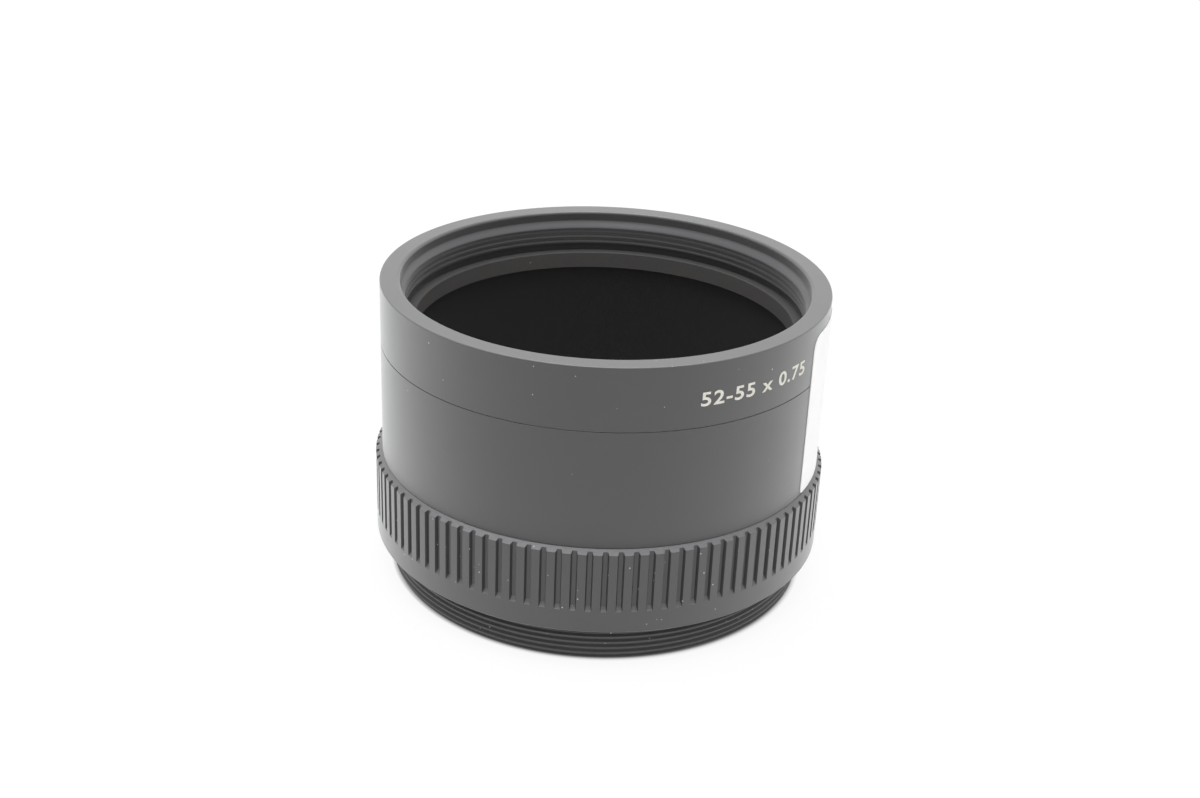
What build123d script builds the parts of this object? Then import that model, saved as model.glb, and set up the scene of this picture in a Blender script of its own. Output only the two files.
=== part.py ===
from build123d import *
import os

# Adapter tube for a camera lens, in millimetres, with +Z up. The origin is the centre of the rear end,
# which the adapter stands on. A knurled coupling screws into the camera by its male thread and turns
# freely about the tube, which carries the lens in the female thread at the top.

# Outer sizes on the radius
barrel_radius = 28.75
grip_overhang = 0.85
rear_thread_inset = 1.28
rear_relief_depth = 0.9

# Heights along the outside, from the rear end up
rear_thread_length = 3.6
rear_relief_height = 1.6
grip_height = 11.1
band_height = 2.86
shoulder_height = 0.47
barrel_length = 15.15
front_ring_length = 8.1

# Walls and steps of the bore on the radius, from the front down
rim_width = 2.55
front_thread_wall = 3.15
front_relief_depth = 0.5
lip_reach = 1.25
barrel_wall = 3.25
mount_wall = 1.57

# Heights inside the front ring, from the rim down
recess_depth = 1.2
lead_in_height = 0.6
front_thread_length = 2.8
front_relief_height = 0.85
lip_height = 2.25

# Joint of front ring and barrel
spigot_wall = 1.7
spigot_length = 3.0
spigot_end_gap = 0.2

# Neck, and what traps the grip ring on it
neck_wall = 1.1
grip_lip_height = 3.0
retaining_ring_height = 2.62
retaining_ring_wall = 1.0
washer_thickness = 0.3
notch_width = 1.6
notch_depth = 0.8
notch_count = 2

# Joint of grip ring and mount ring
mount_seat_step = 0.45
neck_end_gap = 0.5

# Grub screws
mount_screw_radius = 0.7
mount_screw_length = 2.4
retaining_screw_radius = 0.6
retaining_screw_length = 2.0
screw_count = 3
screw_sink = 0.1
screw_slot_width = 0.25
screw_slot_depth = 0.4
screw_clearance = 0.02
first_mount_screw_angle = 90
first_retaining_screw_angle = 30

# Knurl
groove_count = 100
groove_depth = 0.5
groove_mouth_width = 0.9
groove_floor_width = 0.5
first_groove_angle = -91.05

# Linings and label
liner_thickness = 0.3
liner_end_inset = 0.3
label_thickness = 0.1
label_width = 30.5
label_corner_radius = 1.6
label_top_margin = 1.75
label_bottom_margin = 0.22
label_angle = 5.0

# Clearances
running_clearance = 0.05
axial_play = 0.05
retaining_ring_clearance = 0.15
thread_clearance = 0.02
glue_gap = 0.03

# Edges
rim_fillet = 0.45
seam_chamfer = 0.07
grip_edge_chamfer = 0.08
thread_chamfer = 0.4
ledge_chamfer = 0.25
inner_chamfer = 0.2

# Heights of the faces, worked out from the lengths above
grip_bottom = rear_thread_length + rear_relief_height
groove_bottom = grip_bottom + band_height
grip_top = grip_bottom + grip_height
shoulder_bottom = grip_top - shoulder_height
step_height = grip_top + axial_play
seam_height = step_height + barrel_length
rim_height = seam_height + front_ring_length

recess_floor = rim_height - recess_depth
front_thread_top = recess_floor - lead_in_height
front_thread_bottom = front_thread_top - front_thread_length
ledge_height = front_thread_bottom - front_relief_height
lip_underside = ledge_height - lip_height
spigot_bottom = seam_height - spigot_length
socket_bottom = spigot_bottom - spigot_end_gap

grip_lip_underside = grip_top - grip_lip_height
washer_top = grip_lip_underside - axial_play
washer_bottom = washer_top - washer_thickness
neck_bottom = washer_bottom - retaining_ring_height
mount_ring_top = neck_bottom - neck_end_gap

# Radii, worked out from the barrel's radius and the walls, steps and clearances above
grip_radius = barrel_radius + grip_overhang
rear_thread_radius = barrel_radius - rear_thread_inset
rear_relief_radius = rear_thread_radius - rear_relief_depth
mount_bore_radius = rear_relief_radius - mount_wall
recess_radius = barrel_radius - rim_width
front_thread_radius = barrel_radius - front_thread_wall
front_relief_radius = front_thread_radius + front_relief_depth
lip_radius = front_thread_radius - lip_reach
barrel_bore_radius = barrel_radius - barrel_wall
spigot_radius = barrel_bore_radius + spigot_wall
socket_radius = spigot_radius + thread_clearance
neck_radius = barrel_bore_radius + neck_wall
grip_bore_radius = neck_radius + running_clearance
retaining_bore_radius = neck_radius + thread_clearance
retaining_ring_radius = neck_radius + retaining_ring_wall
counterbore_radius = retaining_ring_radius + retaining_ring_clearance
mount_seat_radius = counterbore_radius + mount_seat_step
mount_spigot_radius = mount_seat_radius - thread_clearance
liner_radius = barrel_bore_radius - glue_gap
label_radius = barrel_radius + glue_gap

os.makedirs("parts", exist_ok=True)

# Outline of one groove, drawn on the +X side and carried outwards past the grip ring
groove_floor_radius = grip_radius - groove_depth
groove_outer_radius = grip_radius + grip_overhang
groove_half_floor = groove_floor_width / 2
groove_flare = (groove_mouth_width - groove_floor_width) / (2 * groove_depth)
groove_half_outer = groove_half_floor + groove_flare * (groove_depth + grip_overhang)
with BuildSketch() as groove:
    with BuildLine():
        Polyline(
            (groove_floor_radius, -groove_half_floor),
            (groove_outer_radius, -groove_half_outer),
            (groove_outer_radius, groove_half_outer),
            (groove_floor_radius, groove_half_floor),
            close=True,
        )
    make_face()

# Grip ring, with its lip round the neck, the room for the retaining ring and the seat of the mount ring
with BuildPart() as grip_ring:
    with BuildSketch(Plane.XZ):
        with BuildLine():
            Polyline(
                (mount_seat_radius, grip_bottom),
                (grip_radius, grip_bottom),
                (grip_radius, shoulder_bottom),
                (barrel_radius, grip_top),
                (grip_bore_radius, grip_top),
                (grip_bore_radius, grip_lip_underside),
                (counterbore_radius, grip_lip_underside),
                (counterbore_radius, mount_ring_top),
                (mount_seat_radius, mount_ring_top),
                close=True,
            )
        make_face()
    revolve(axis=Axis.Z)
    chamfer(grip_ring.edges().group_by(Axis.Z)[0].sort_by(SortBy.RADIUS)[-1], length=grip_edge_chamfer)
    with BuildSketch(Plane.XY.offset(groove_bottom)):
        with PolarLocations(0, groove_count, start_angle=first_groove_angle):
            add(groove.sketch)
    extrude(amount=grip_top - groove_bottom, mode=Mode.SUBTRACT)
    with Locations(Plane.XY.offset(grip_bottom)):
        with PolarLocations(mount_seat_radius, screw_count, start_angle=first_mount_screw_angle):
            Cylinder(
                mount_screw_radius + screw_clearance,
                screw_sink + mount_screw_length,
                align=(Align.CENTER, Align.CENTER, Align.MIN),
                mode=Mode.SUBTRACT,
            )
grip_ring.part.label = "grip_ring"
export_step(grip_ring.part, "parts/grip_ring.step")

# Mount ring: male thread, relief groove and the spigot that screws up into the grip ring
with BuildPart() as mount_ring:
    with BuildSketch(Plane.XZ):
        with BuildLine():
            Polyline(
                (mount_bore_radius, 0),
                (rear_thread_radius, 0),
                (rear_thread_radius, rear_thread_length),
                (rear_relief_radius, rear_thread_length),
                (rear_relief_radius, grip_bottom),
                (mount_spigot_radius, grip_bottom),
                (mount_spigot_radius, mount_ring_top),
                (mount_bore_radius, mount_ring_top),
                close=True,
            )
        make_face()
    revolve(axis=Axis.Z)
    chamfer(mount_ring.edges().group_by(Axis.Z)[0].sort_by(SortBy.RADIUS)[-1], length=thread_chamfer)
    chamfer(mount_ring.edges().group_by(Axis.Z)[0].sort_by(SortBy.RADIUS)[0], length=inner_chamfer)
    with Locations(Plane.XY.offset(grip_bottom)):
        with PolarLocations(mount_seat_radius, screw_count, start_angle=first_mount_screw_angle):
            Cylinder(
                mount_screw_radius + screw_clearance,
                screw_sink + mount_screw_length,
                align=(Align.CENTER, Align.CENTER, Align.MIN),
                mode=Mode.SUBTRACT,
            )
mount_ring.part.label = "mount_ring"
export_step(mount_ring.part, "parts/mount_ring.step")

# Grub screws at the joint of grip ring and mount ring, slotted on their lower ends
with BuildPart() as mount_ring_screws:
    with Locations(Plane.XY.offset(grip_bottom + screw_sink)):
        with PolarLocations(mount_seat_radius, screw_count, start_angle=first_mount_screw_angle):
            Cylinder(
                mount_screw_radius,
                mount_screw_length,
                align=(Align.CENTER, Align.CENTER, Align.MIN),
            )
            Box(
                2 * mount_screw_radius,
                screw_slot_width,
                screw_slot_depth,
                align=(Align.CENTER, Align.CENTER, Align.MIN),
                mode=Mode.SUBTRACT,
            )
mount_ring_screws.part.label = "mount_ring_screws"
export_step(mount_ring_screws.part, "parts/mount_ring_screws.step")

# Barrel: plain sleeve with a socket for the front ring above and a neck inside the grip ring below
with BuildPart() as barrel:
    with BuildSketch(Plane.XZ):
        with BuildLine():
            Polyline(
                (barrel_bore_radius, neck_bottom),
                (neck_radius, neck_bottom),
                (neck_radius, step_height),
                (barrel_radius, step_height),
                (barrel_radius, seam_height),
                (socket_radius, seam_height),
                (socket_radius, socket_bottom),
                (barrel_bore_radius, socket_bottom),
                close=True,
            )
        make_face()
    revolve(axis=Axis.Z)
    chamfer(barrel.edges().group_by(Axis.Z)[-1].sort_by(SortBy.RADIUS)[-1], length=seam_chamfer)
    with Locations(Plane.XY.offset(neck_bottom)):
        with PolarLocations(neck_radius, screw_count, start_angle=first_retaining_screw_angle):
            Cylinder(
                retaining_screw_radius + screw_clearance,
                screw_sink + retaining_screw_length,
                align=(Align.CENTER, Align.CENTER, Align.MIN),
                mode=Mode.SUBTRACT,
            )
barrel.part.label = "barrel"
export_step(barrel.part, "parts/barrel.step")

# Front ring: rim, recess, lead-in, female thread, relief, ledge and lip, with its spigot in the barrel
with BuildPart() as front_ring:
    with BuildSketch(Plane.XZ):
        with BuildLine():
            Polyline(
                (spigot_radius, spigot_bottom),
                (spigot_radius, seam_height),
                (barrel_radius, seam_height),
                (barrel_radius, rim_height),
                (recess_radius, rim_height),
                (recess_radius, recess_floor),
                (front_thread_radius, front_thread_top),
                (front_thread_radius, front_thread_bottom),
                (front_relief_radius, front_thread_bottom),
                (front_relief_radius, ledge_height),
                (lip_radius, ledge_height),
                (lip_radius, lip_underside),
                (barrel_bore_radius, lip_underside),
                (barrel_bore_radius, spigot_bottom),
                close=True,
            )
        make_face()
    revolve(axis=Axis.Z)
    circles = front_ring.edges().filter_by(GeomType.CIRCLE)
    fillet(circles.group_by(Axis.Z)[-1].sort_by(SortBy.RADIUS)[-1], radius=rim_fillet)
    circles = front_ring.edges().filter_by(GeomType.CIRCLE)
    ledge_circles = circles.filter_by_position(Axis.Z, ledge_height, ledge_height)
    chamfer(ledge_circles.sort_by(SortBy.RADIUS)[0], length=ledge_chamfer)
    circles = front_ring.edges().filter_by(GeomType.CIRCLE)
    seam_circles = circles.filter_by_position(Axis.Z, seam_height, seam_height)
    chamfer(seam_circles.sort_by(SortBy.RADIUS)[-1], length=seam_chamfer)
    circles = front_ring.edges().filter_by(GeomType.CIRCLE)
    chamfer(circles.group_by(Axis.Z)[0].sort_by(SortBy.RADIUS)[-1], length=inner_chamfer)
front_ring.part.label = "front_ring"
export_step(front_ring.part, "parts/front_ring.step")

# Matt black sleeve glued inside the barrel, from under the lip to just above the neck's lower end
with BuildPart() as bore_liner:
    with BuildSketch(Plane.XY.offset(neck_bottom + liner_end_inset)):
        Circle(liner_radius)
        Circle(liner_radius - liner_thickness, mode=Mode.SUBTRACT)
    extrude(amount=lip_underside - neck_bottom - liner_end_inset)
bore_liner.part.label = "bore_liner"
export_step(bore_liner.part, "parts/bore_liner.step")

# Retaining ring on the neck, with spanner notches in its lower face
with BuildPart() as retaining_ring:
    with BuildSketch(Plane.XY.offset(neck_bottom)):
        Circle(retaining_ring_radius)
        Circle(retaining_bore_radius, mode=Mode.SUBTRACT)
    extrude(amount=retaining_ring_height)
    circles = retaining_ring.edges().filter_by(GeomType.CIRCLE)
    chamfer(circles.group_by(SortBy.RADIUS)[-1], length=inner_chamfer)
    with Locations(Plane.XY.offset(neck_bottom)):
        with PolarLocations(retaining_ring_radius, notch_count):
            Box(
                2 * retaining_ring_wall,
                notch_width,
                notch_depth,
                align=(Align.CENTER, Align.CENTER, Align.MIN),
                mode=Mode.SUBTRACT,
            )
        with PolarLocations(neck_radius, screw_count, start_angle=first_retaining_screw_angle):
            Cylinder(
                retaining_screw_radius + screw_clearance,
                screw_sink + retaining_screw_length,
                align=(Align.CENTER, Align.CENTER, Align.MIN),
                mode=Mode.SUBTRACT,
            )
retaining_ring.part.label = "retaining_ring"
export_step(retaining_ring.part, "parts/retaining_ring.step")

# Grub screws at the joint of neck and retaining ring
with BuildPart() as retaining_ring_screws:
    with Locations(Plane.XY.offset(neck_bottom + screw_sink)):
        with PolarLocations(neck_radius, screw_count, start_angle=first_retaining_screw_angle):
            Cylinder(
                retaining_screw_radius,
                retaining_screw_length,
                align=(Align.CENTER, Align.CENTER, Align.MIN),
            )
            Box(
                2 * retaining_screw_radius,
                screw_slot_width,
                screw_slot_depth,
                align=(Align.CENTER, Align.CENTER, Align.MIN),
                mode=Mode.SUBTRACT,
            )
retaining_ring_screws.part.label = "retaining_ring_screws"
export_step(retaining_ring_screws.part, "parts/retaining_ring_screws.step")

# Slip washer lying on the retaining ring, under the grip ring's lip
with BuildPart() as slip_washer:
    with BuildSketch(Plane.XY.offset(washer_bottom)):
        Circle(retaining_ring_radius)
        Circle(grip_bore_radius, mode=Mode.SUBTRACT)
    extrude(amount=washer_thickness)
slip_washer.part.label = "slip_washer"
export_step(slip_washer.part, "parts/slip_washer.step")

# Blank paper label, wrapped round the barrel and the front ring
label_bottom = step_height + label_bottom_margin
label_height = rim_height - label_top_margin - label_bottom
label_plane = Plane.YZ.rotated((0, 0, label_angle))
with BuildPart() as paper_label:
    with BuildSketch(Plane.XY.offset(label_bottom)):
        Circle(label_radius + label_thickness)
        Circle(label_radius, mode=Mode.SUBTRACT)
    extrude(amount=label_height)
    with BuildSketch(label_plane):
        with Locations((0, label_bottom + label_height / 2)):
            RectangleRounded(label_width, label_height, label_corner_radius)
    extrude(amount=grip_radius, mode=Mode.INTERSECT)
paper_label.part.label = "paper_label"
export_step(paper_label.part, "parts/paper_label.step")
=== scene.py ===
import cmath
import math

import bmesh
import bpy
import numpy as np
from mathutils import Matrix, Vector

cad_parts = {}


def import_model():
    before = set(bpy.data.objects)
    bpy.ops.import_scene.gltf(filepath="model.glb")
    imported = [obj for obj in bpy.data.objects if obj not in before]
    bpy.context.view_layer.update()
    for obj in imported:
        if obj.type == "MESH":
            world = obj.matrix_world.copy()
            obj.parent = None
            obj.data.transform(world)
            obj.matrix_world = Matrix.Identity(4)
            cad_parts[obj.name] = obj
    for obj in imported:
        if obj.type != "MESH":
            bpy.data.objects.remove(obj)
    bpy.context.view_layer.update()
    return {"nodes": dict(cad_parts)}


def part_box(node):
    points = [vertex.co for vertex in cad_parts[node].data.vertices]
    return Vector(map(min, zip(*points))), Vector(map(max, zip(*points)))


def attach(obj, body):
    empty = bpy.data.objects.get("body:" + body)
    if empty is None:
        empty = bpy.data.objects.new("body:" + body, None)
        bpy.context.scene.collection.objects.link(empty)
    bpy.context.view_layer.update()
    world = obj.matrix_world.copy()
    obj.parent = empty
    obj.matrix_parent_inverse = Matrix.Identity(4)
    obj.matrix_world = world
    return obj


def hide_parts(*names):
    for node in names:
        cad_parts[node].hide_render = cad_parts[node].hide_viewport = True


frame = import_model()

# Everything is in metres. A size written in millimetres is multiplied by MM.
MM = 0.001
TURN = 2 * math.pi

# Heights and radii that the frame gives
GRIP_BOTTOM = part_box("grip_ring")[0].z
GRIP_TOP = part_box("grip_ring")[1].z
GRIP_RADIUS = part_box("grip_ring")[1].x
MOUNT_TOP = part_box("mount_ring")[1].z
NECK_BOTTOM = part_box("barrel")[0].z
SEAM_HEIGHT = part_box("barrel")[1].z
BARREL_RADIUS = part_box("barrel")[1].x
SPIGOT_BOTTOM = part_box("front_ring")[0].z
RIM_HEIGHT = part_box("front_ring")[1].z
LINER_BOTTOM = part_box("bore_liner")[0].z
LIP_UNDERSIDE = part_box("bore_liner")[1].z
LINER_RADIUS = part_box("bore_liner")[1].x
LABEL_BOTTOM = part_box("paper_label")[0].z
LABEL_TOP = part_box("paper_label")[1].z

# Walls and steps on the radius, from the outside in
SPIGOT_RADIUS = BARREL_RADIUS - 1.55 * MM
SOCKET_RADIUS = SPIGOT_RADIUS + 0.02 * MM
RECESS_RADIUS = BARREL_RADIUS - 2.55 * MM
FRONT_THREAD_CREST = BARREL_RADIUS - 3.15 * MM
FRONT_RELIEF_RADIUS = FRONT_THREAD_CREST + 0.5 * MM
LIP_RADIUS = FRONT_THREAD_CREST - 1.25 * MM
BARREL_BORE = BARREL_RADIUS - 3.25 * MM
NECK_RADIUS = BARREL_BORE + 1.1 * MM
GRIP_BORE = NECK_RADIUS + 0.05 * MM
COUNTERBORE_RADIUS = NECK_RADIUS + 1.15 * MM
MOUNT_SEAT_RADIUS = COUNTERBORE_RADIUS + 0.45 * MM
MOUNT_SPIGOT_RADIUS = MOUNT_SEAT_RADIUS - 0.02 * MM
REAR_THREAD_CREST = BARREL_RADIUS - 1.28 * MM
REAR_RELIEF_RADIUS = REAR_THREAD_CREST - 0.9 * MM
MOUNT_BORE = REAR_RELIEF_RADIUS - 1.57 * MM
LINER_THICKNESS = 0.3 * MM

# Heights of faces
REAR_THREAD_TOP = GRIP_BOTTOM - 1.6 * MM
GRIP_LIP_UNDERSIDE = GRIP_TOP - 3.0 * MM
STEP_HEIGHT = GRIP_TOP + 0.05 * MM
SOCKET_BOTTOM = SPIGOT_BOTTOM - 0.2 * MM
LEDGE_HEIGHT = LIP_UNDERSIDE + 2.25 * MM
FRONT_THREAD_BOTTOM = LEDGE_HEIGHT + 0.85 * MM
LEAD_IN_BOTTOM = FRONT_THREAD_BOTTOM + 2.8 * MM
LEAD_IN_TOP = RIM_HEIGHT - 1.2 * MM

# Edges
RIM_ROUNDING = 0.18 * MM
RIM_INNER_ROUNDING = 0.4 * MM
LEAD_IN_SOFTNESS = 0.6 * MM
SEAM_DEPTH = 0.25 * MM
SEAM_HALF_WIDTH = 0.042 * MM
SEAM_BREAK = 0.03 * MM
GRIP_EDGE_CHAMFER = 0.08 * MM
THREAD_CHAMFER = 0.4 * MM
LEDGE_ROUNDING = 0.12 * MM
LEDGE_CHANNEL_DEPTH = 0.3 * MM
INNER_CHAMFER = 0.2 * MM
EDGE_BREAK = 0.05 * MM

# Threads. The flats and the phases are shares of the pitch.
PITCH = 0.75 * MM
REAR_THREAD_DEPTH = 0.36 * MM
FRONT_THREAD_DEPTH = 0.075 * MM
CREST_FLAT = 0.24
ROOT_FLAT = 0.16
THREAD_PHASES = (0, 0.07, 0.12, 0.17, 0.24, 0.33, 0.42, 0.5, 0.58, 0.67, 0.76, 0.83, 0.88, 0.93)
THREAD_SOFTNESS = 0.2
THREAD_FADE = 1.4 * MM
FRONT_THREAD_START = 0.0
REAR_THREAD_START = 0.38

# Knurl
GROOVES = 100
GROOVE_DEPTH = 0.48 * MM
GROOVE_WALL_DEPTH = 0.44 * MM
GROOVE_HALF_WIDTH = 0.43 * MM
GROOVE_FLOOR_SHARE = 0.62
GROOVE_WALL_SHARE = 0.97
GROOVE_RUN_OUT = 0.9 * MM
GROOVE_BOTTOM = GRIP_BOTTOM + 2.86 * MM
GROOVE_SOFTNESS = 0.02 * MM
SHOULDER_HEIGHT = 0.47 * MM
SHOULDER_REACH = 1.5 * SHOULDER_HEIGHT
SHOULDER_ROWS = 24
SHOULDER_SOFTNESS = 0.04 * MM
FIRST_GROOVE = math.radians(-91.05)

# Where the grip ring's mesh has columns, in half widths from a groove's middle, and where it has rows,
# in shares of the run-out above the grooves' lower end
GROOVE_COLUMNS = (
    *(0, 0.2, 0.4, 0.52, 0.58, 0.61, 0.64, 0.68),
    *(0.76, 0.84, 0.91, 0.94, 0.97, 0.99, 1.02, 1.2, 1.6),
)
GROOVE_ROWS = (-0.03, -0.01, 0, 0.01, 0.03, 0.06, 0.12, 0.2, 0.3, 0.4, 0.5, 0.65, 0.8, 0.9, 1, 1.1)

# Grub screws
MOUNT_SCREW_HOLE = 0.72 * MM
MOUNT_SCREW_DEPTH = 2.5 * MM
RETAINING_SCREW_HOLE = 0.62 * MM
RETAINING_SCREW_DEPTH = 2.1 * MM
SCREWS = 3
FIRST_MOUNT_SCREW = math.radians(90)
FIRST_RETAINING_SCREW = math.radians(30)
HOLE_SIDES = 40

# Paper label and numerals. An angle is measured from +X, and the camera looks from -Y.
LABEL_ANGLE = math.radians(2.7)
LABEL_WIDTH = 30.5 * MM
LABEL_TOP_CORNER = 1.8 * MM
LABEL_BOTTOM_CORNER = 0.5 * MM
LABEL_GAP = 0.03 * MM
LABEL_THICKNESS = 0.1 * MM
LABEL_CORNER_STEPS = 9
LABEL_SIDE_STEPS = 8
LABEL_COLUMNS = 97
NUMERALS = "52-55 x 0.75"
NUMERALS_START = math.radians(-66.65)
NUMERALS_END = math.radians(-32.6)
NUMERALS_BASE = 34.22 * MM
NUMERALS_HEIGHT = 1.72 * MM
NUMERALS_PROUD = 0.025 * MM
NUMERALS_SINK = 0.02 * MM
NUMERALS_BOLDNESS = 0.018
NUMERALS_SPACING = 1.12
NUMERALS_FLATNESS = 0.01

# Colours of metal and of the dust on it. The black anodising is ANODISED; the other anodised colours are
# paler and darker copies of it that paint light and shade on some faces: painted light on the threads, the
# bore, the faces below the front thread, the lead-in and the grip's shoulder, painted shade on the groove
# walls, the ledge and the rear relief.
ANODISED = (0.005, 0.005, 0.005)
ANODISED_PAINTED_LIGHT = (0.046, 0.046, 0.046)
GROOVE_WALL = (0.042, 0.042, 0.042)
RELIEF_PAINTED_SHADE = (0.018, 0.018, 0.018)
LIP_WALL_PAINTED_LIGHT = (0.076, 0.073, 0.071)
LEDGE_PAINTED_SHADE = (0.040, 0.039, 0.039)
LEAD_IN_HIGHLIGHT = (0.066, 0.066, 0.069)
SHOULDER_PAINTED_LIGHT = (0.043, 0.043, 0.045)
BLACKENED_STEEL = (0.06, 0.06, 0.065)
PALE_SHARE = 1.25
DUST_COLOUR = (0.75, 0.75, 0.74, 1)
DUST_COVER = 0.7

# Fine texture of metal
SHEEN = 0.55
INNER_SHEEN = 0.3
SHEEN_ROUGHNESS = 0.5
COAT_IOR = 1.55
GLOSS_PLAY = 0.05
MARK_HEIGHT = 0.012 * MM
GRAIN_SIZE = 0.09 * MM
ROUND_LINE_SIZE = 0.07 * MM
ROUND_LINE_DRIFT = 0.0006
STRAIGHT_LINE_SIZE = 0.09 * MM
STRAIGHT_LINE_DRIFT = 0.02
PATCH_SIZE = 9 * MM
DUST_SPACING = 0.6 * MM
DUST_SIZE = 0.16

# Colours and texture of the liner, the label, the figures and the slip washer
LINER_DARK = (0.020, 0.020, 0.020, 1)
LINER_LIGHT = (0.032, 0.032, 0.032, 1)
LINER_ROUGHNESS = (0.8, 0.9)
LINER_SPECULAR = 0.2
NAP_SIZE = 0.15 * MM
NAP_HEIGHT = 0.03 * MM
PAPER_DARK = (0.94, 0.94, 0.93, 1)
PAPER_LIGHT = (0.97, 0.97, 0.96, 1)
PAPER_ROUGHNESS = (0.5, 0.6)
FIBRE_SIZE = 0.2 * MM
FIBRE_HEIGHT = 0.006 * MM
CLOUD_SIZE = 6 * MM
PAINT_THIN = (0.62, 0.60, 0.53, 1)
PAINT_THICK = (0.80, 0.78, 0.71, 1)
PAINT_ROUGHNESS = (0.5, 0.65)
PAINT_GRAIN_SIZE = 0.12 * MM
PLASTIC_DARK = (0.024, 0.024, 0.026, 1)
PLASTIC_LIGHT = (0.036, 0.036, 0.038, 1)
PLASTIC_ROUGHNESS = (0.35, 0.45)
FLOW_SIZE = 2 * MM

# The part of a noise that is spread over the whole range of what it drives
NOISE_LOW = 0.3
NOISE_HIGH = 0.7
PAINT_LOW = 0.35
PAINT_HIGH = 0.65

# Which faces get a paler or darker copy of the anodising, which paints light or shade on them: how far
# they face upwards or round the axis, and the margin on their place
SHOULDER_SLOPE = 0.35
LEDGE_SLOPE = 0.5
LEAD_IN_SLOPE = 0.25
WALL_TURN = 0.5
EDGE_MARGIN = 0.01 * MM

# Camera, solved from circles of the object in the photograph
FOCAL_LENGTH = 48.52
SENSOR_WIDTH = 36
NEAREST_SEEN = 10 * MM
CAMERA_PLACE = Vector((-0.1606, -193.895, 112.290)) * MM
CAMERA_PITCH = math.radians(24.878)
CAMERA_TILT = math.radians(2.436)

# Light. The surroundings get darker as their direction's share along +Y grows.
AMBIENT = 0.57
AMBIENT_BEHIND = 0.42
BEHIND_FROM = 0.2
BEHIND_TO = 0.9
WARM_AMBIENT = (1.0, 0.99, 0.97, 1)
WHITE = (1, 1, 1, 1)
LAMP_PLACE = Vector((-0.05, 0.06, 0.85))
LAMP_AIM = Vector((0, 0, 0.02))
LAMP_SIZE = 0.8
LAMP_POWER = 10.5
COOL_LAMP = (0.95, 0.965, 1.0)
FLOOR_REACH = 3.0
FLOOR_DROP = 0.02 * MM
FLOOR_COLOUR = (0.9, 0.9, 0.89, 1)
FLOOR_SHOWN = 0.92
CONTACT_REACH = 0.7 * MM

# Fineness of the meshes
COLUMNS = 480
ARC_STEPS = 5
HOLD = 0.03 * MM
MERGE_DISTANCE = 0.00002 * MM
SHARP_ANGLE = math.radians(35)


def rounded(before, corner, after, radius):
    """The arc that rounds a corner, with a point past each end that keeps the faces beside it flat."""
    back = (before - corner) / abs(before - corner)
    on = (after - corner) / abs(after - corner)
    half = abs(cmath.phase(on / back)) / 2
    start = corner + back * radius / math.tan(half)
    end = corner + on * radius / math.tan(half)
    centre = corner + (back + on) / abs(back + on) * radius / math.sin(half)
    sweep = cmath.phase((end - centre) / (start - centre))
    spokes = [(start - centre) * cmath.exp(1j * sweep * step / ARC_STEPS) for step in range(ARC_STEPS + 1)]
    return [start + back * HOLD] + [centre + spoke for spoke in spokes] + [end + on * HOLD]


def path(*corners):
    """Rows of an open outline. A corner is (radius, height), and a third value rounds it."""
    places = [complex(corner[0], corner[1]) for corner in corners]
    rows = []
    for i, corner in enumerate(corners):
        if len(corner) == 3:
            rows += rounded(places[i - 1], places[i], places[i + 1], corner[2])
        else:
            rows.append(places[i])
    return [(row.real, row.imag) for row in rows]


def smooth_min(a, b, width):
    """The smaller of a and b, with the crease between them rounded over about that width."""
    near = np.maximum(width - np.abs(a - b), 0) / width
    return np.minimum(a, b) - near * near * width / 4


def thread(low, high, crest, root, start, trim):
    """Rows of a right-hand thread. Each row follows the helix and lies between the heights low and high.
    start is where the crest begins, as a share of a turn, and trim(radius, height) shapes the ends."""
    turned = np.linspace(0, 1, COLUMNS + 1)
    turns = math.ceil((high - low) / PITCH) + 1
    climbs = [turn + (phase + start) % 1 for turn in range(turns) for phase in THREAD_PHASES]
    climbs = sorted([0, turns] + climbs)
    rows = []
    for climb in climbs:
        height = np.clip(low + PITCH * (climb + turned - 1), low, high)
        place = (height - low) / PITCH - turned - start
        from_crest = np.abs(place - np.round(place))
        flank = (from_crest - CREST_FLAT / 2) / (0.5 - CREST_FLAT / 2 - ROOT_FLAT / 2)
        below_crest = -smooth_min(-flank, 0, THREAD_SOFTNESS)
        cut = smooth_min(below_crest, 1, THREAD_SOFTNESS)
        radius = crest + (root - crest) * cut
        rows.append((trim(radius, height), height))
    return rows


def ring(name, rows, angles=None):
    """A closed ring. A row is (radius, height), and each is a number or has one value per angle."""
    if angles is None:
        angles = np.linspace(0, TURN, COLUMNS + 1)
    every = np.ones(len(angles))
    radius = np.array([row[0] * every for row in rows])
    height = np.array([row[1] * every for row in rows])
    points = np.stack([radius * np.cos(angles), radius * np.sin(angles), height], axis=-1)
    index = np.arange(radius.size).reshape(radius.shape)
    above = np.roll(index, -1, axis=0)
    quads = np.stack([index[:, :-1], index[:, 1:], above[:, 1:], above[:, :-1]], axis=-1)
    mesh = bpy.data.meshes.new(name)
    mesh.from_pydata(points.reshape(-1, 3).tolist(), [], quads.reshape(-1, 4).tolist())
    return placed(name, mesh)


def placed(name, mesh):
    """The object of a mesh, with its doubled points merged and its normals outwards."""
    work = bmesh.new()
    work.from_mesh(mesh)
    bmesh.ops.remove_doubles(work, verts=work.verts, dist=MERGE_DISTANCE)
    bmesh.ops.recalc_face_normals(work, faces=work.faces)
    work.to_mesh(mesh)
    work.free()
    piece = bpy.data.objects.new(name, mesh)
    bpy.context.scene.collection.objects.link(piece)
    return piece


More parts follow.
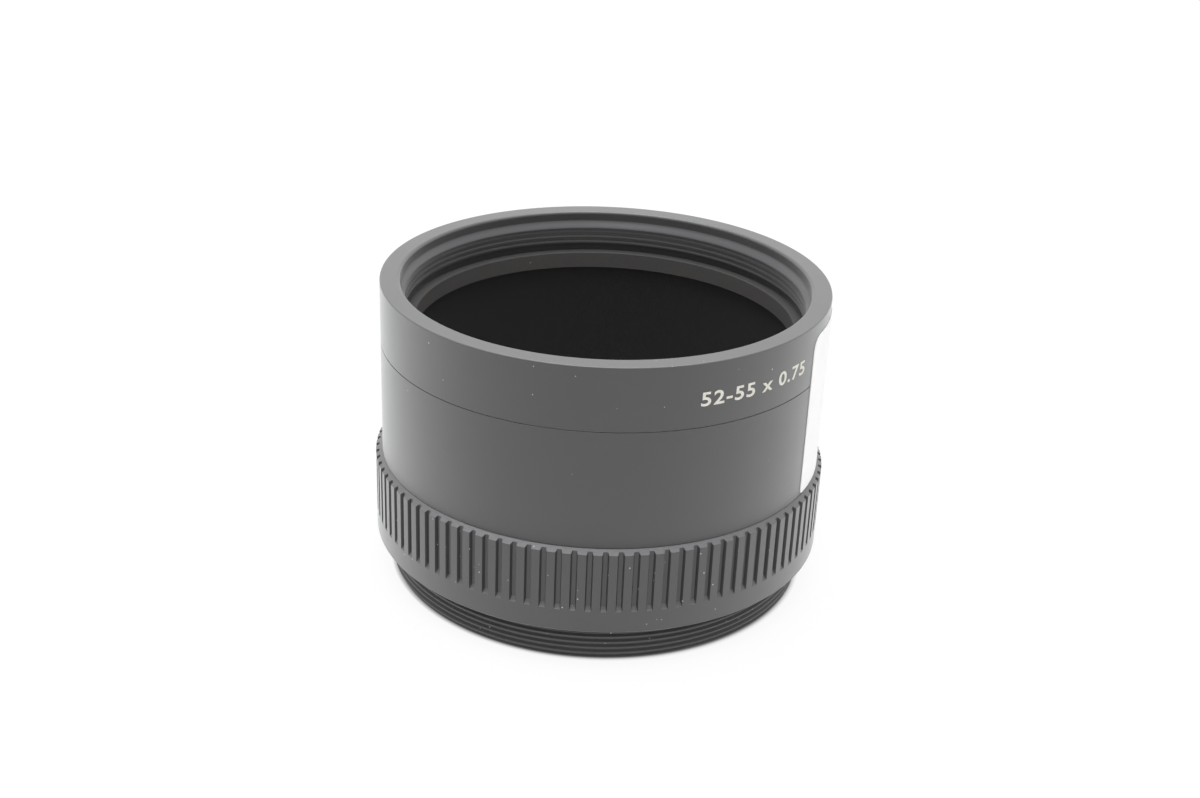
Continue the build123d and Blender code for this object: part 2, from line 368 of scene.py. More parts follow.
def drill(piece, first_angle, circle_radius, bottom, depth, hole_radius):
    """Cuts the holes of one set of grub screws, spaced evenly about the axis, into a piece from below."""
    work = bmesh.new()
    for i in range(SCREWS):
        angle = first_angle + TURN * i / SCREWS
        place = Vector((circle_radius * math.cos(angle), circle_radius * math.sin(angle), bottom))
        bmesh.ops.create_cone(
            work,
            cap_ends=True,
            segments=HOLE_SIDES,
            radius1=hole_radius,
            radius2=hole_radius,
            depth=2 * depth,
            matrix=Matrix.Translation(place),
        )
    cutter_mesh = bpy.data.meshes.new("cutter")
    work.to_mesh(cutter_mesh)
    work.free()
    cutter = bpy.data.objects.new("cutter", cutter_mesh)
    bpy.context.scene.collection.objects.link(cutter)
    cut = piece.modifiers.new("holes", "BOOLEAN")
    cut.operation = "DIFFERENCE"
    cut.solver = "MANIFOLD"
    cut.object = cutter
    graph = bpy.context.evaluated_depsgraph_get()
    piece.data = bpy.data.meshes.new_from_object(piece.evaluated_get(graph))
    piece.modifiers.clear()
    bpy.data.objects.remove(cutter)


def drill_mount_screws(piece):
    """Cuts the holes of the grub screws, which lie half in the grip ring and half in the mount ring."""
    drill(piece, FIRST_MOUNT_SCREW, MOUNT_SEAT_RADIUS, GRIP_BOTTOM, MOUNT_SCREW_DEPTH, MOUNT_SCREW_HOLE)


def set_edges(piece):
    """Smooth faces, with sharp edges where two of them meet at an angle."""
    work = bmesh.new()
    work.from_mesh(piece.data)
    for face in work.faces:
        face.smooth = True
    for edge in work.edges:
        edge.smooth = len(edge.link_faces) == 2 and edge.calc_face_angle() < SHARP_ANGLE
    work.to_mesh(piece.data)
    work.free()


def lead_in(radius, height):
    """The front thread's radius, with its turns fading out into the rounded slope that leads in to them."""
    fade = np.clip((LEAD_IN_BOTTOM - height) / THREAD_FADE, 0, 1)
    slope_start = LEAD_IN_BOTTOM - LEAD_IN_SOFTNESS
    share = np.clip((height - slope_start) / (LEAD_IN_TOP - slope_start), 0, 1)
    slope = (RECESS_RADIUS - FRONT_THREAD_CREST) * share * share * (3 - 2 * share)
    return FRONT_THREAD_CREST + (radius - FRONT_THREAD_CREST) * fade + slope


def end_chamfers(radius, height):
    """The rear thread's radius within the chamfers at its two ends."""
    from_end = np.minimum(height, REAR_THREAD_TOP - height)
    return np.minimum(radius, REAR_THREAD_CREST - THREAD_CHAMFER + from_end)


def front_ring():
    """Front ring: spigot, outer wall, rim, recess, lead-in, female thread, relief, ledge and lip."""
    outside = path(
        (BARREL_BORE, SPIGOT_BOTTOM),
        (SPIGOT_RADIUS - INNER_CHAMFER, SPIGOT_BOTTOM),
        (SPIGOT_RADIUS, SPIGOT_BOTTOM + INNER_CHAMFER),
        (SPIGOT_RADIUS, SEAM_HEIGHT),
        (BARREL_RADIUS - SEAM_DEPTH, SEAM_HEIGHT),
        (BARREL_RADIUS - SEAM_DEPTH, SEAM_HEIGHT + SEAM_HALF_WIDTH),
        (BARREL_RADIUS - SEAM_BREAK, SEAM_HEIGHT + SEAM_HALF_WIDTH),
        (BARREL_RADIUS, SEAM_HEIGHT + SEAM_HALF_WIDTH + SEAM_BREAK),
        (BARREL_RADIUS, RIM_HEIGHT, RIM_ROUNDING),
        (RECESS_RADIUS, RIM_HEIGHT, RIM_INNER_ROUNDING),
        (RECESS_RADIUS, LEAD_IN_TOP),
    )
    root = FRONT_THREAD_CREST + FRONT_THREAD_DEPTH
    turns = thread(FRONT_THREAD_BOTTOM, LEAD_IN_TOP, FRONT_THREAD_CREST, root, FRONT_THREAD_START, lead_in)
    turns.reverse()
    inside = path(
        (FRONT_RELIEF_RADIUS, FRONT_THREAD_BOTTOM),
        (FRONT_RELIEF_RADIUS, LEDGE_HEIGHT - LEDGE_CHANNEL_DEPTH),
        (FRONT_THREAD_CREST, LEDGE_HEIGHT - LEDGE_CHANNEL_DEPTH),
        (FRONT_THREAD_CREST, LEDGE_HEIGHT, EDGE_BREAK),
        (LIP_RADIUS, LEDGE_HEIGHT, LEDGE_ROUNDING),
        (LIP_RADIUS, LIP_UNDERSIDE, EDGE_BREAK),
        (BARREL_BORE, LIP_UNDERSIDE),
    )
    return ring("front_ring_fine", outside + turns + inside)


def barrel():
    """Barrel: socket for the front ring above, plain wall, step and the neck inside the grip ring."""
    piece = ring(
        "barrel_fine",
        path(
            (BARREL_BORE, NECK_BOTTOM),
            (NECK_RADIUS, NECK_BOTTOM, EDGE_BREAK),
            (NECK_RADIUS, STEP_HEIGHT),
            (BARREL_RADIUS, STEP_HEIGHT, EDGE_BREAK / 2),
            (BARREL_RADIUS, SEAM_HEIGHT - SEAM_HALF_WIDTH - SEAM_BREAK),
            (BARREL_RADIUS - SEAM_BREAK, SEAM_HEIGHT - SEAM_HALF_WIDTH),
            (BARREL_RADIUS - SEAM_DEPTH, SEAM_HEIGHT - SEAM_HALF_WIDTH),
            (BARREL_RADIUS - SEAM_DEPTH, SEAM_HEIGHT),
            (SOCKET_RADIUS, SEAM_HEIGHT),
            (SOCKET_RADIUS, SOCKET_BOTTOM),
            (BARREL_BORE, SOCKET_BOTTOM),
        ),
    )
    drill(piece, FIRST_RETAINING_SCREW, NECK_RADIUS, NECK_BOTTOM, RETAINING_SCREW_DEPTH, RETAINING_SCREW_HOLE)
    return piece


def grip_ring():
    """Grip ring: milled grooves that run out through the sloping shoulder, over a plain band."""
    groove_angles = FIRST_GROOVE + TURN * np.arange(GROOVES) / GROOVES
    half = np.array(GROOVE_COLUMNS)
    offsets = np.concatenate([-half[:0:-1], half])
    angles = (groove_angles[:, None] + offsets[None, :] * GROOVE_HALF_WIDTH / GRIP_RADIUS).ravel()
    angles = np.append(angles, angles[0] + TURN)
    across = np.append(np.tile(offsets, GROOVES), offsets[0])

    bed = GROOVE_DEPTH - (GROOVE_DEPTH - GROOVE_WALL_DEPTH) * (across / GROOVE_FLOOR_SHARE) ** 2
    up_side = (GROOVE_WALL_SHARE - np.abs(across)) / (GROOVE_WALL_SHARE - GROOVE_FLOOR_SHARE)
    section = smooth_min(bed, GROOVE_WALL_DEPTH * up_side, GROOVE_SOFTNESS)

    def wall_row(height):
        """The outer wall at a height, with the grooves running out to nothing above the band."""
        to_full = 1 - (height - GROOVE_BOTTOM) / GROOVE_RUN_OUT
        cutter = GROOVE_DEPTH * (1 - max(to_full, 0) ** 2)
        depth = smooth_min(section, cutter, GROOVE_SOFTNESS)
        slope = (GRIP_RADIUS - BARREL_RADIUS) / SHOULDER_HEIGHT
        shoulder = smooth_min(GRIP_RADIUS, BARREL_RADIUS + slope * (GRIP_TOP - height), SHOULDER_SOFTNESS)
        return smooth_min(shoulder * np.ones_like(depth), GRIP_RADIUS - depth, GROOVE_SOFTNESS), height

    outside = path(
        (MOUNT_SEAT_RADIUS, GRIP_BOTTOM),
        (GRIP_RADIUS - GRIP_EDGE_CHAMFER, GRIP_BOTTOM, EDGE_BREAK / 3),
        (GRIP_RADIUS, GRIP_BOTTOM + GRIP_EDGE_CHAMFER, EDGE_BREAK / 3),
        (GRIP_RADIUS, GROOVE_BOTTOM - GROOVE_RUN_OUT / 4),
    )
    lower_ends = [wall_row(GROOVE_BOTTOM + GROOVE_RUN_OUT * share) for share in GROOVE_ROWS]
    shoulder_start = GRIP_TOP - SHOULDER_REACH
    upper_ends = [wall_row(height) for height in np.linspace(shoulder_start, GRIP_TOP, SHOULDER_ROWS)]
    inner_side = path(
        (GRIP_BORE, GRIP_TOP),
        (GRIP_BORE, GRIP_LIP_UNDERSIDE),
        (COUNTERBORE_RADIUS, GRIP_LIP_UNDERSIDE),
        (COUNTERBORE_RADIUS, MOUNT_TOP),
        (MOUNT_SEAT_RADIUS, MOUNT_TOP),
    )
    piece = ring("grip_ring_fine", outside + lower_ends + upper_ends + inner_side, angles)
    drill_mount_screws(piece)
    return piece


def mount_ring():
    """Mount ring: male thread, relief groove and the spigot that screws up into the grip ring."""
    root = REAR_THREAD_CREST - REAR_THREAD_DEPTH
    foot = path(
        (MOUNT_BORE, INNER_CHAMFER),
        (MOUNT_BORE + INNER_CHAMFER, 0),
    )
    turns = thread(0, REAR_THREAD_TOP, REAR_THREAD_CREST, root, REAR_THREAD_START, end_chamfers)
    body = path(
        (REAR_RELIEF_RADIUS, REAR_THREAD_TOP),
        (REAR_RELIEF_RADIUS, GRIP_BOTTOM),
        (MOUNT_SPIGOT_RADIUS, GRIP_BOTTOM),
        (MOUNT_SPIGOT_RADIUS, MOUNT_TOP),
        (MOUNT_BORE, MOUNT_TOP, EDGE_BREAK),
        (MOUNT_BORE, GRIP_BOTTOM),
    )
    piece = ring("mount_ring_fine", foot + turns + body)
    drill_mount_screws(piece)
    return piece


def bore_liner():
    """Matt black sleeve inside the barrel."""
    inner = LINER_RADIUS - LINER_THICKNESS
    return ring(
        "bore_liner_fine",
        path(
            (inner, (LINER_BOTTOM + LIP_UNDERSIDE) / 2),
            (inner, LINER_BOTTOM, EDGE_BREAK),
            (LINER_RADIUS, LINER_BOTTOM, EDGE_BREAK),
            (LINER_RADIUS, LIP_UNDERSIDE),
            (inner, LIP_UNDERSIDE),
        ),
    )


def paper_label():
    """Blank label with rounded corners, wrapped round the barrel over the seam."""
    half_width = LABEL_WIDTH / 2
    quarter = np.linspace(0, TURN / 4, LABEL_CORNER_STEPS)
    low_turn = LABEL_BOTTOM + LABEL_BOTTOM_CORNER * (1 - np.cos(quarter))
    high_turn = LABEL_TOP - LABEL_TOP_CORNER * (1 - np.cos(quarter[::-1]))
    middle = np.linspace(low_turn[-1], high_turn[0], LABEL_SIDE_STEPS)
    heights = np.concatenate([low_turn[:-1], middle, high_turn[1:]])
    drawn_in = np.concatenate(
        [
            LABEL_BOTTOM_CORNER * (1 - np.sin(quarter[:-1])),
            np.zeros(len(middle)),
            LABEL_TOP_CORNER * (1 - np.sin(quarter[::-1][1:])),
        ]
    )
    reach = half_width - drawn_in
    across = np.linspace(-1, 1, LABEL_COLUMNS)
    angles = LABEL_ANGLE + reach[:, None] * across[None, :] / BARREL_RADIUS
    levels = np.repeat(heights[:, None], len(across), axis=1)
    work = bmesh.new()
    sides = []
    for radius in (BARREL_RADIUS + LABEL_GAP, BARREL_RADIUS + LABEL_GAP + LABEL_THICKNESS):
        points = np.stack([radius * np.cos(angles), radius * np.sin(angles), levels], axis=-1)
        sides.append([[work.verts.new(point) for point in row] for row in points])
    inner, outer = sides
    rows, columns = levels.shape
    for i in range(rows - 1):
        for j in range(columns - 1):
            for side in sides:
                work.faces.new((side[i][j], side[i][j + 1], side[i + 1][j + 1], side[i + 1][j]))
    loop = [(0, j) for j in range(columns)]
    loop += [(i, columns - 1) for i in range(1, rows)]
    loop += [(rows - 1, j) for j in reversed(range(columns - 1))]
    loop += [(i, 0) for i in reversed(range(1, rows - 1))]
    for (i, j), (k, m) in zip(loop, loop[1:] + loop[:1]):
        work.faces.new((inner[i][j], inner[k][m], outer[k][m], outer[i][j]))
    mesh = bpy.data.meshes.new("paper_label_fine")
    work.to_mesh(mesh)
    work.free()
    return placed("paper_label_fine", mesh)


def numerals():
    """Thread sizes in thin white figures on the front ring."""
    text = bpy.data.curves.new("numerals", "FONT")
    text.body = NUMERALS
    text.size = 1
    text.offset = NUMERALS_BOLDNESS
    text.space_character = NUMERALS_SPACING
    writing = bpy.data.objects.new("numerals_text", text)
    bpy.context.scene.collection.objects.link(writing)
    graph = bpy.context.evaluated_depsgraph_get()
    flat = bpy.data.meshes.new_from_object(writing.evaluated_get(graph))
    bpy.data.objects.remove(writing)
    work = bmesh.new()
    work.from_mesh(flat)
    bmesh.ops.dissolve_limit(work, angle_limit=NUMERALS_FLATNESS, verts=work.verts, edges=work.edges)
    bmesh.ops.triangulate(work, faces=work.faces)
    front = list(work.faces)
    made = bmesh.ops.extrude_face_region(work, geom=front)
    raised = [item for item in made["geom"] if isinstance(item, bmesh.types.BMVert)]
    for vert in raised:
        vert.co.z = 1
    low_x = min(vert.co.x for vert in work.verts)
    high_x = max(vert.co.x for vert in work.verts)
    high_y = max(vert.co.y for vert in work.verts)
    for vert in work.verts:
        share = (vert.co.x - low_x) / (high_x - low_x)
        angle = NUMERALS_START + (NUMERALS_END - NUMERALS_START) * share
        radius = BARREL_RADIUS + (NUMERALS_PROUD if vert.co.z > 0.5 else -NUMERALS_SINK)
        height = NUMERALS_BASE + NUMERALS_HEIGHT * vert.co.y / high_y
        vert.co = (radius * math.cos(angle), radius * math.sin(angle), height)
    mesh = bpy.data.meshes.new("numerals")
    work.to_mesh(mesh)
    work.free()
    return placed("numerals", mesh)


def new_material(name):
    """An empty node material and its principled shader."""
    material = bpy.data.materials.new(name)
    material.use_nodes = True
    shader = next(node for node in material.node_tree.nodes if node.type == "BSDF_PRINCIPLED")
    return material, material.node_tree, shader


def fill(tree, socket, value):
    """Links a socket to an output, or sets its value."""
    if isinstance(value, bpy.types.NodeSocket):
        tree.links.new(value, socket)
    else:
        socket.default_value = value


def node(tree, kind, *values, **settings):
    """A new node, with its first inputs filled in order and its settings set. Gives its first output."""
    made = tree.nodes.new("ShaderNode" + kind)
    for key, value in settings.items():
        setattr(made, key, value)
    for socket, value in zip(made.inputs, values):
        fill(tree, socket, value)
    return made.outputs[0]


def noise(tree, vector, size, detail=2.0, roughness=0.5):
    """Noise from 0 to 1 over a vector, with features of about the given size."""
    made = tree.nodes.new("ShaderNodeTexNoise")
    fill(tree, made.inputs["Vector"], vector)
    made.inputs["Scale"].default_value = 1 / size
    made.inputs["Detail"].default_value = detail
    made.inputs["Roughness"].default_value = roughness
    return made.outputs["Fac"]


def mapped(tree, value, low, high, to_low, to_high):
    """A value taken from one range to another and held within it."""
    made = tree.nodes.new("ShaderNodeMapRange")
    for socket, number in zip(made.inputs, (value, low, high, to_low, to_high)):
        fill(tree, socket, number)
    return made.outputs[0]


def mixed(tree, factor, first, second):
    """Two colours mixed by a factor."""
    made = tree.nodes.new("ShaderNodeMix")
    made.data_type = "RGBA"
    fill(tree, made.inputs["Factor"], factor)
    fill(tree, made.inputs["A"], first)
    fill(tree, made.inputs["B"], second)
    return made.outputs["Result"]


def object_place(tree):
    """The place on the piece, in metres."""
    return tree.nodes.new("ShaderNodeTexCoord").outputs["Object"]


def raise_surface(tree, shader, height, distance):
    """Raises the shader's surface by a height from 0 to 1, times a distance."""
    bump = tree.nodes.new("ShaderNodeBump")
    bump.inputs["Strength"].default_value = 1.0
    bump.inputs["Distance"].default_value = distance
    fill(tree, bump.inputs["Height"], height)
    tree.links.new(bump.outputs["Normal"], shader.inputs["Normal"])


def tool_marks(tree, place, grain_height, grain, round_lines, straight_lines):
    """The height of the grain with marks of the tool round the axis and along it."""
    axes = tree.nodes.new("ShaderNodeSeparateXYZ")
    fill(tree, axes.inputs[0], place)
    x, y, z = axes.outputs
    length = tree.nodes.new("ShaderNodeVectorMath")
    length.operation = "LENGTH"
    fill(tree, length.inputs[0], node(tree, "CombineXYZ", x, y, 0.0))
    radius = length.outputs["Value"]
    angle = node(tree, "Math", y, x, operation="ARCTAN2")
    slow_angle = node(tree, "Math", angle, ROUND_LINE_DRIFT, operation="MULTIPLY")
    round_place = node(tree, "CombineXYZ", radius, z, slow_angle)
    round_height = noise(tree, round_place, ROUND_LINE_SIZE, roughness=0.6)
    long_angle = node(tree, "Math", angle, BARREL_RADIUS, operation="MULTIPLY")
    slow_z = node(tree, "Math", z, STRAIGHT_LINE_DRIFT, operation="MULTIPLY")
    straight_place = node(tree, "CombineXYZ", long_angle, slow_z, slow_z)
    straight_height = noise(tree, straight_place, STRAIGHT_LINE_SIZE, roughness=0.6)
    height = node(tree, "Math", grain_height, grain, operation="MULTIPLY")
    height = node(tree, "Math", round_height, round_lines, height, operation="MULTIPLY_ADD")
    return node(tree, "Math", straight_height, straight_lines, height, operation="MULTIPLY_ADD")


def dusted(tree, place, tint, dust):
    """A colour with pale specks in a share of the cells that the surface is divided into."""
    cells = tree.nodes.new("ShaderNodeTexVoronoi")
    fill(tree, cells.inputs["Vector"], place)
    cells.inputs["Scale"].default_value = 1 / DUST_SPACING
    chance = tree.nodes.new("ShaderNodeSeparateColor")
    fill(tree, chance.inputs[0], cells.outputs["Color"])
    size = mapped(tree, chance.outputs["Red"], 1 - dust, 1.0, 0.0, DUST_SIZE)
    speck = node(tree, "Math", cells.outputs["Distance"], size, operation="LESS_THAN")
    return mixed(tree, node(tree, "Math", speck, DUST_COVER, operation="MULTIPLY"), tint, DUST_COLOUR)


def turned_metal(
    name,
    colour,
    roughness=0.5,
    ior=1.55,
    sheen=0.0,
    coat=0.0,
    grain=0.3,
    round_lines=0.2,
    straight_lines=0.0,
    dust=0.0,
):
    """Anodised or blackened metal with a fine grain, marks of the tool, soft patches of gloss and dust."""
    material, tree, shader = new_material(name)
    place = object_place(tree)
    grain_height = noise(tree, place, GRAIN_SIZE, detail=3.0, roughness=0.6)
    marks = tool_marks(tree, place, grain_height, grain, round_lines, straight_lines)
    raise_surface(tree, shader, marks, MARK_HEIGHT)
    patches = noise(tree, place, PATCH_SIZE, detail=4.0, roughness=0.6)
    uneven = mapped(tree, patches, NOISE_LOW, NOISE_HIGH, roughness - GLOSS_PLAY, roughness + GLOSS_PLAY)
    fill(tree, shader.inputs["Roughness"], uneven)
    shader.inputs["IOR"].default_value = ior
    shader.inputs["Sheen Weight"].default_value = sheen
    shader.inputs["Sheen Roughness"].default_value = SHEEN_ROUGHNESS
    shader.inputs["Coat Weight"].default_value = coat
    shader.inputs["Coat IOR"].default_value = COAT_IOR
    shader.inputs["Coat Roughness"].default_value = roughness
    pale = [min(1, channel * PALE_SHARE) for channel in colour] + [1]
    tint = mixed(tree, mapped(tree, grain_height, NOISE_LOW, NOISE_HIGH, 0.0, 1.0), list(colour) + [1], pale)
    if dust:
        tint = dusted(tree, place, tint, dust)
    fill(tree, shader.inputs["Base Color"], tint)
    return material


def liner_material():
    """Dead matt black with a fine nap."""
    material, tree, shader = new_material("light_trap_nap")
    nap = noise(tree, object_place(tree), NAP_SIZE, detail=4.0, roughness=0.7)
    tint = mixed(tree, nap, LINER_DARK, LINER_LIGHT)
    fill(tree, shader.inputs["Base Color"], tint)
    fill(tree, shader.inputs["Roughness"], mapped(tree, nap, NOISE_LOW, NOISE_HIGH, *LINER_ROUGHNESS))
    shader.inputs["Specular IOR Level"].default_value = LINER_SPECULAR
    raise_surface(tree, shader, nap, NAP_HEIGHT)
    return material


def paper_material():
    """White label stock with a faint fibre and slight unevenness."""
    material, tree, shader = new_material("label_stock")
    place = object_place(tree)
    fibre = noise(tree, place, FIBRE_SIZE, detail=5.0, roughness=0.65)
    cloud = noise(tree, place, CLOUD_SIZE)
    tint = mixed(tree, cloud, PAPER_DARK, PAPER_LIGHT)
    fill(tree, shader.inputs["Base Color"], tint)
    fill(tree, shader.inputs["Roughness"], mapped(tree, fibre, NOISE_LOW, NOISE_HIGH, *PAPER_ROUGHNESS))
    raise_surface(tree, shader, fibre, FIBRE_HEIGHT)
    return material


def paint_material():
    """Cream white filling of the figures."""
    material, tree, shader = new_material("figure_paint")
    grain = noise(tree, object_place(tree), PAINT_GRAIN_SIZE, detail=3.0, roughness=0.6)
    thickness = mapped(tree, grain, PAINT_LOW, PAINT_HIGH, 0.0, 1.0)
    tint = mixed(tree, thickness, PAINT_THIN, PAINT_THICK)
    fill(tree, shader.inputs["Base Color"], tint)
    fill(tree, shader.inputs["Roughness"], mapped(tree, grain, NOISE_LOW, NOISE_HIGH, *PAINT_ROUGHNESS))
    return material


def washer_material():
    """Smooth dark slip plastic with faint moulding flow."""
    material, tree, shader = new_material("slip_plastic_smooth")
    flow = noise(tree, object_place(tree), FLOW_SIZE, detail=3.0)
    tint = mixed(tree, flow, PLASTIC_DARK, PLASTIC_LIGHT)
    fill(tree, shader.inputs["Base Color"], tint)
    fill(tree, shader.inputs["Roughness"], mapped(tree, flow, NOISE_LOW, NOISE_HIGH, *PLASTIC_ROUGHNESS))
    return material


def paint_light_or_shade_where(piece, material, within=math.inf, beyond=0.0, above=0.0, upward=-2.0, sideways=-1.0):
    """Gives another material, a copy of the anodising that paints light or shade, to the faces that lie
    between two radii and above a height, and that face upwards and round the axis by more than the given
    shares."""
    piece.data.materials.append(material)
    slot = len(piece.data.materials) - 1
    for face in piece.data.polygons:
        x, y, height = face.center
        radius = math.hypot(x, y)
        turned = abs(face.normal.y * x - face.normal.x * y) / radius
        if beyond < radius < within and height >= above and face.normal.z > upward and turned > sideways:
            face.material_index = slot


def dress(piece, material, body, replaced):
    """Gives a new piece its material and body, and hides the node that it stands for."""
    piece.data.materials.clear()
    piece.data.materials.append(material)
    set_edges(piece)
    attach(piece, body)
    if replaced:
        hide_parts(replaced)


anodised_plain = turned_metal(
    "anodised_plain", ANODISED, sheen=SHEEN, coat=1.0, grain=0.9, round_lines=0.35, dust=0.025
)
anodised_grip = turned_metal(
    "anodised_grip",
    ANODISED,
    sheen=SHEEN,
    coat=1.0,
    grain=0.9,
    round_lines=0.1,
    straight_lines=0.5,
    dust=0.15,
)
# Paler copy for the grip's upward shoulder faces: painted light from the lamp overhead
anodised_shoulder = turned_metal(
    "anodised_shoulder", SHOULDER_PAINTED_LIGHT, sheen=SHEEN, coat=1.0, grain=0.9, round_lines=0.35, dust=0.1
)
# Much paler copies for the mount ring's thread and the front ring's bore: painted light
anodised_thread = turned_metal(
    "anodised_thread", ANODISED_PAINTED_LIGHT, ior=1.6, coat=0.35, round_lines=0.4, dust=0.3
)
anodised_bore = turned_metal(
    "anodised_bore",
    ANODISED_PAINTED_LIGHT,
    roughness=0.42,
    ior=1.5,
    sheen=INNER_SHEEN,
    coat=0.2,
    round_lines=0.3,
    dust=0.02,
)
# Paler copy for the lead-in's upward slope: painted highlight
anodised_lead_in = turned_metal(
    "anodised_lead_in",
    LEAD_IN_HIGHLIGHT,
    roughness=0.42,
    ior=1.5,
    sheen=INNER_SHEEN,
    coat=0.2,
    round_lines=0.3,
)
# Paler copy for the faces below the front thread, the lip wall, relief and channel: painted light
anodised_lip = turned_metal("anodised_lip", LIP_WALL_PAINTED_LIGHT, roughness=0.6, ior=1.35, dust=0.02)
# Darker copy for the ledge's upward faces: painted shade
anodised_ledge = turned_metal("anodised_ledge", LEDGE_PAINTED_SHADE, roughness=0.6, ior=1.35, dust=0.02)
# Copy without sheen or coat for the groove walls: painted shade in the grooves, lifted by a paler base
anodised_wall = turned_metal("anodised_wall", GROOVE_WALL, ior=1.6, grain=0.5, dust=0.4)
# Darker copy for the rear relief groove: painted shade under the grip ring's overhang
anodised_relief = turned_metal("anodised_relief", RELIEF_PAINTED_SHADE, ior=1.4, grain=0.5, dust=0.2)
steel = turned_metal(
    "steel_blackened", BLACKENED_STEEL, roughness=0.4, ior=1.8, sheen=SHEEN, coat=1.0, round_lines=0.1
)

rim = front_ring()
dress(rim, anodised_plain, "tube", "front_ring")
# The front ring's inside gets copies of the anodising that paint light and shade: paler over the bore, the
# faces below the thread and the lead-in, darker on the ledge
within_thread = FRONT_THREAD_CREST - EDGE_MARGIN
slope_foot = LEAD_IN_BOTTOM - LEAD_IN_SOFTNESS
before_rim = RECESS_RADIUS - EDGE_MARGIN
# Paler copy over the bore and the front thread: painted light
paint_light_or_shade_where(rim, anodised_bore, within=RECESS_RADIUS + EDGE_MARGIN)
# Painted light on the faces below the front thread
paint_light_or_shade_where(rim, anodised_lip, within=within_thread)
# Painted shade on the ledge's upward faces
paint_light_or_shade_where(rim, anodised_ledge, within=within_thread, upward=LEDGE_SLOPE)
# Painted highlight on the lead-in's upward slope
paint_light_or_shade_where(rim, anodised_lead_in, within=before_rim, above=slope_foot, upward=LEAD_IN_SLOPE)
dress(barrel(), anodised_plain, "tube", "barrel")
dress(bore_liner(), liner_material(), "tube", "bore_liner")
dress(paper_label(), paper_material(), "tube", "paper_label")
dress(numerals(), paint_material(), "tube", None)
grip = grip_ring()
dress(grip, anodised_grip, "coupling", "grip_ring")
# Painted light on the shoulder's upward faces
paint_light_or_shade_where(grip, anodised_shoulder, beyond=BARREL_RADIUS, upward=SHOULDER_SLOPE)
# Painted shade on the groove walls
paint_light_or_shade_where(grip, anodised_wall, beyond=BARREL_RADIUS - GROOVE_DEPTH, sideways=WALL_TURN)
mount = mount_ring()
# The mount ring is dressed in the paler copy: painted light
dress(mount, anodised_thread, "coupling", "mount_ring")
# Painted shade in the rear relief groove
paint_light_or_shade_where(mount, anodised_relief, within=REAR_RELIEF_RADIUS + EDGE_MARGIN)

# The pieces that the frame already shows in their true shape keep it and get their finish here
FINISHES = {
    "retaining_ring": anodised_plain,
    "retaining_ring_screws": steel,
    "mount_ring_screws": steel,
    "slip_washer": washer_material(),
}
for name, material in FINISHES.items():
    frame["nodes"][name].data.materials.clear()
    frame["nodes"][name].data.materials.append(material)


def camera():
    """The camera at the photograph's place and angle."""
    lens = bpy.data.cameras.new("camera")
    lens.lens = FOCAL_LENGTH
    lens.sensor_width = SENSOR_WIDTH
    lens.clip_start = NEAREST_SEEN
    seen = bpy.data.objects.new("camera", lens)
    bpy.context.scene.collection.objects.link(seen)
    right = Vector((1, 0, 0))
    up = Vector((0, math.sin(CAMERA_PITCH), math.cos(CAMERA_PITCH)))
    back = Vector((0, -math.cos(CAMERA_PITCH), math.sin(CAMERA_PITCH)))
    turned = Matrix((right, up, back)).transposed().to_4x4()
    tilt = Matrix.Rotation(CAMERA_TILT, 4, "Z")
    seen.matrix_world = Matrix.Translation(CAMERA_PLACE) @ turned @ tilt
    bpy.context.scene.camera = seen


def shown_white(tree):
    """1 for rays that show the background: camera, glossy and transmission rays."""
    rays = tree.nodes.new("ShaderNodeLightPath").outputs
    either = node(tree, "Math", rays["Is Camera Ray"], rays["Is Glossy Ray"], operation="MAXIMUM")
    return node(tree, "Math", either, rays["Is Transmission Ray"], operation="MAXIMUM")


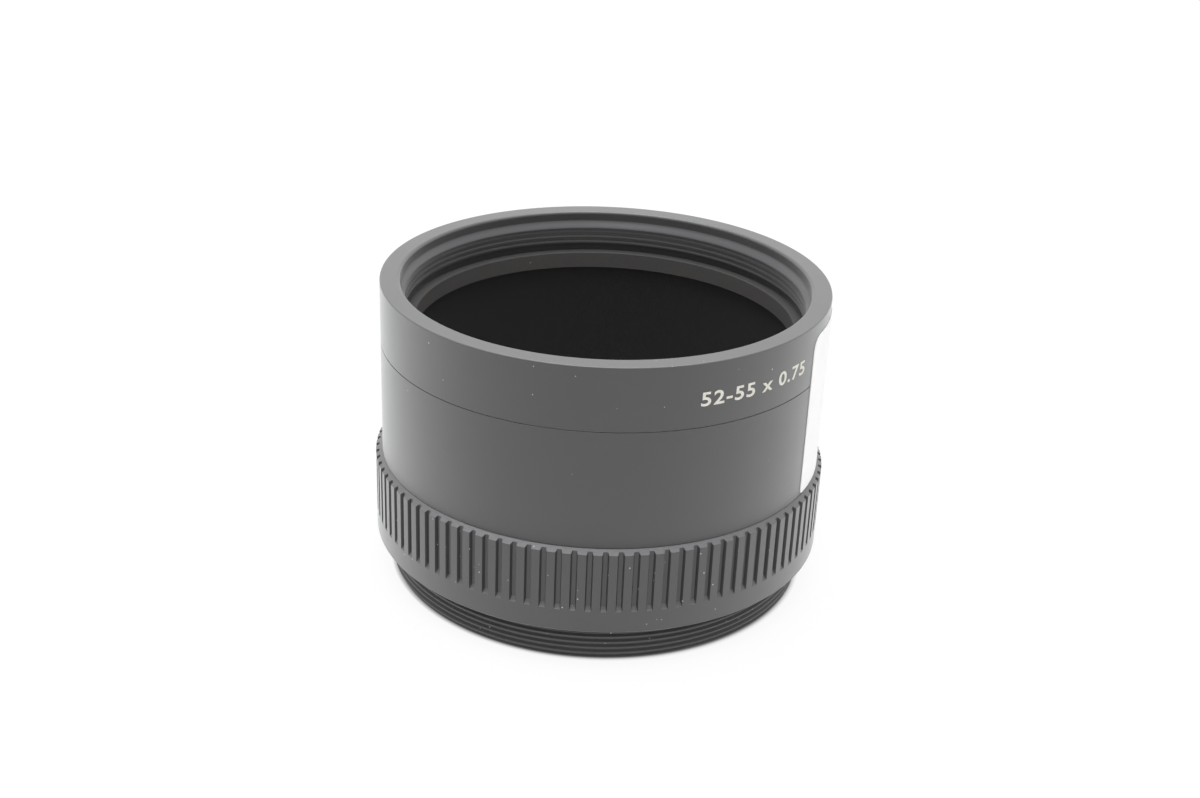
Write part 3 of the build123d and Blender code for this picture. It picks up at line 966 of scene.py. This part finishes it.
def floor():
    """A pale floor that shows near white, keeps a faint shadow and isn't seen from below."""
    mesh = bpy.data.meshes.new("floor")
    signs = ((-1, -1), (1, -1), (1, 1), (-1, 1))
    corners = [(x * FLOOR_REACH, y * FLOOR_REACH, -FLOOR_DROP) for x, y in signs]
    mesh.from_pydata(corners, [], [(0, 1, 2, 3)])
    piece = bpy.data.objects.new("floor", mesh)
    bpy.context.scene.collection.objects.link(piece)
    material, tree, shader = new_material("floor_white")
    tree.nodes.remove(shader)
    output = next(made for made in tree.nodes if made.type == "OUTPUT_MATERIAL")
    matt = node(tree, "BsdfDiffuse", FLOOR_COLOUR)
    contact = tree.nodes.new("ShaderNodeAmbientOcclusion")
    contact.inputs["Distance"].default_value = CONTACT_REACH
    white = node(tree, "Emission", contact.outputs["Color"], 1.0)
    share = node(tree, "Math", shown_white(tree), FLOOR_SHOWN, operation="MULTIPLY")
    from_above = node(tree, "MixShader", share, matt, white)
    from_below = node(tree, "BsdfTransparent", WHITE)
    facing_down = tree.nodes.new("ShaderNodeNewGeometry").outputs["Backfacing"]
    tree.links.new(node(tree, "MixShader", facing_down, from_above, from_below), output.inputs["Surface"])
    mesh.materials.append(material)


def world():
    """White surroundings, which light the object a little less from behind and show white."""
    surroundings = bpy.data.worlds.new("white")
    surroundings.use_nodes = True
    tree = surroundings.node_tree
    background = next(made for made in tree.nodes if made.type == "BACKGROUND")
    shown = shown_white(tree)
    direction = tree.nodes.new("ShaderNodeSeparateXYZ")
    fill(tree, direction.inputs[0], tree.nodes.new("ShaderNodeTexCoord").outputs["Generated"])
    ambient = mapped(tree, direction.outputs["Y"], BEHIND_FROM, BEHIND_TO, AMBIENT, AMBIENT_BEHIND)
    fill(tree, background.inputs["Color"], mixed(tree, shown, WARM_AMBIENT, WHITE))
    fill(tree, background.inputs["Strength"], mapped(tree, shown, 0.0, 1.0, ambient, 1.0))
    bpy.context.scene.world = surroundings


def top_lamp():
    """A square soft lamp over the object."""
    light = bpy.data.lights.new("top_lamp", "AREA")
    light.size = LAMP_SIZE
    light.energy = LAMP_POWER
    light.color = COOL_LAMP
    lamp = bpy.data.objects.new("top_lamp", light)
    bpy.context.scene.collection.objects.link(lamp)
    lamp.location = LAMP_PLACE
    lamp.rotation_euler = (LAMP_AIM - LAMP_PLACE).to_track_quat("-Z", "Y").to_euler()
    lamp.visible_camera = False


camera()
floor()
world()
top_lamp()

bpy.context.scene.view_settings.view_transform = "Standard"
